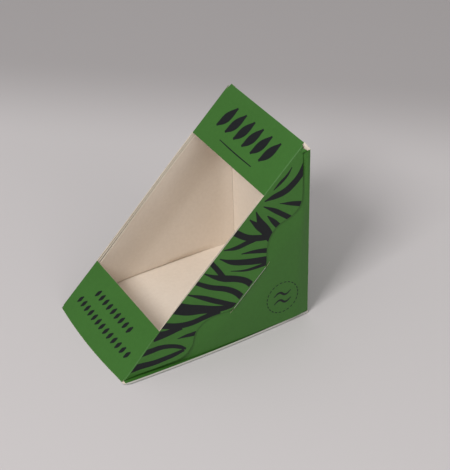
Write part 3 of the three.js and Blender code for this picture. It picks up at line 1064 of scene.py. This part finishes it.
stamp = [arc(dash_turn * n, dash_turn * n + dash_length, stamp_radius, 0.3)
         for n in range(dashes)]
stamp.append([(stamp_y - 6, stamp_z + 2, .3), (stamp_y - 2, stamp_z + 4, .7),
              (stamp_y + 2, stamp_z + 1.5, .7), (stamp_y + 6, stamp_z + 3.5, .3)])
stamp.append([(stamp_y - 6, stamp_z - 3.5, .3), (stamp_y - 2, stamp_z - 1.5, .7),
              (stamp_y + 2, stamp_z - 4, .7), (stamp_y + 6, stamp_z - 2, .3)])
for side, word in SIDES:
    def on_end(y, z, out, side=side):
        return Vector((side * (end_x(side, y, z, rear_half(side, z)) + out), y, z))

    lay_marks("end_stamp_" + word, stamp, on_end)
print("stamps on both ends")

# %% [markdown]
# ## Floor, camera and light
#
# The pack stands on a pale studio table whose colour is painted greyer towards the rear:
# a painted falloff of the lamp's light away from the pack. A soft lamp in front and slightly
# to the right gives the light on the front and the soft shadow behind the pack. A weak lamp
# on the right lifts the end, and the world is brighter overhead than at table height, as a
# white ceiling would make it.

# %% Studio floor
bpy.ops.object.select_all(action="DESELECT")
bpy.ops.mesh.primitive_plane_add(size=6.0, location=(0, 0, 0))
floor = bpy.context.object
floor.name = "studio_floor"
# Matt white laminate: pale, slightly pink grey, no visible grain
floor_finish, floor_tree, floor_shader, floor_place = new_finish("matt studio laminate with painted falloff")
# Painted falloff of the lamp's light: the colour turns greyer across a slanting line, between
# these two distances behind the pack
falloff_slant, falloff_start, falloff_end = -1.141, 0.27, 0.47
parts = add_node(floor_tree, "ShaderNodeSeparateXYZ", {}, {}, {0: floor_place})
away = add_node(floor_tree, "ShaderNodeMath", {"operation": "MULTIPLY"}, {1: falloff_slant}, {
    0: parts.outputs["X"]})
rear = add_node(floor_tree, "ShaderNodeMath", {"operation": "ADD"}, {}, {
    0: away.outputs[0], 1: parts.outputs["Y"]})
painted_falloff = add_node(floor_tree, "ShaderNodeMapRange", {"interpolation_type": "SMOOTHSTEP"}, {
    "From Min": falloff_start, "From Max": falloff_end}, {"Value": rear.outputs[0]})
shade = add_node(floor_tree, "ShaderNodeMix", {"data_type": "RGBA"}, {
    6: to_linear("#C5C0C0"), 7: to_linear("#A7A2A2")}, {0: painted_falloff.outputs["Result"]})
floor_tree.links.new(shade.outputs[2], floor_shader.inputs["Base Color"])
floor_shader.inputs["Roughness"].default_value = 0.7
floor.data.materials.append(floor_finish)
print("floor is", floor.dimensions.x, "m wide")

# %% Camera at the photograph's angle
# Place, lens and the two directions come from a camera fitted to the pack's corners
camera_place, camera_lens, film_width = (0.61887, -0.30769, 0.53667), 108.3, 36.0
look = Vector((-0.71826, 0.39546, -0.57246))
right_seen = Vector((0.50070, 0.86508, -0.03061))
bpy.ops.object.camera_add(location=camera_place)
camera = bpy.context.object
camera.data.lens = camera_lens
camera.data.sensor_width = film_width
turned = look.to_track_quat("-Z", "Y").to_matrix()
right_now = turned @ Vector((1, 0, 0))
roll = math.atan2(right_now.cross(right_seen).dot(look), right_now.dot(right_seen))
camera.rotation_mode = "QUATERNION"
camera.rotation_quaternion = look.to_track_quat("-Z", "Y")
camera.rotation_quaternion.rotate(Quaternion(look, roll))
bpy.context.scene.camera = camera
print("camera rolled by", round(math.degrees(roll), 2), "degrees")

# %% Soft lamp, side fill and a room that is brighter overhead
lamp_aim = Vector((0.0, 0.0, 0.05))


def soft_lamp(name, place, size, power):
    """A square lamp that faces the pack, metres across and watts strong."""
    bpy.ops.object.light_add(type="AREA", location=place)
    lamp = bpy.context.object
    lamp.name = name
    lamp.data.shape = "SQUARE"
    lamp.data.size = size
    lamp.data.energy = power
    lamp.rotation_euler = (lamp.location - lamp_aim).to_track_quat("Z", "Y").to_euler()
    return lamp


key = soft_lamp("soft_box", (0.74, -1.44, 1.68), 0.7, 34.0)
soft_lamp("side_fill", (1.9, 0.25, 0.85), 1.2, 6.0)
level_glow, overhead_glow = 0.06, 0.74
world = bpy.data.worlds.new("pale room")
bpy.context.scene.world = world
world.use_nodes = True
air = next(n for n in world.node_tree.nodes if n.type == "BACKGROUND")
sky = add_node(world.node_tree, "ShaderNodeTexCoord")
axes = add_node(world.node_tree, "ShaderNodeSeparateXYZ", {}, {}, {0: sky.outputs["Generated"]})
level = add_node(world.node_tree, "ShaderNodeMapRange", {}, {
    "From Min": 0.0, "From Max": 1.0, "To Min": level_glow, "To Max": overhead_glow}, {
        "Value": axes.outputs["Z"]})
world.node_tree.links.new(level.outputs["Result"], air.inputs["Strength"])
air.inputs["Color"].default_value = to_linear("#FFFFFF")
bpy.context.scene.view_settings.view_transform = "Standard"
print("key light", round((key.location - lamp_aim).length, 2), "m from the pack")
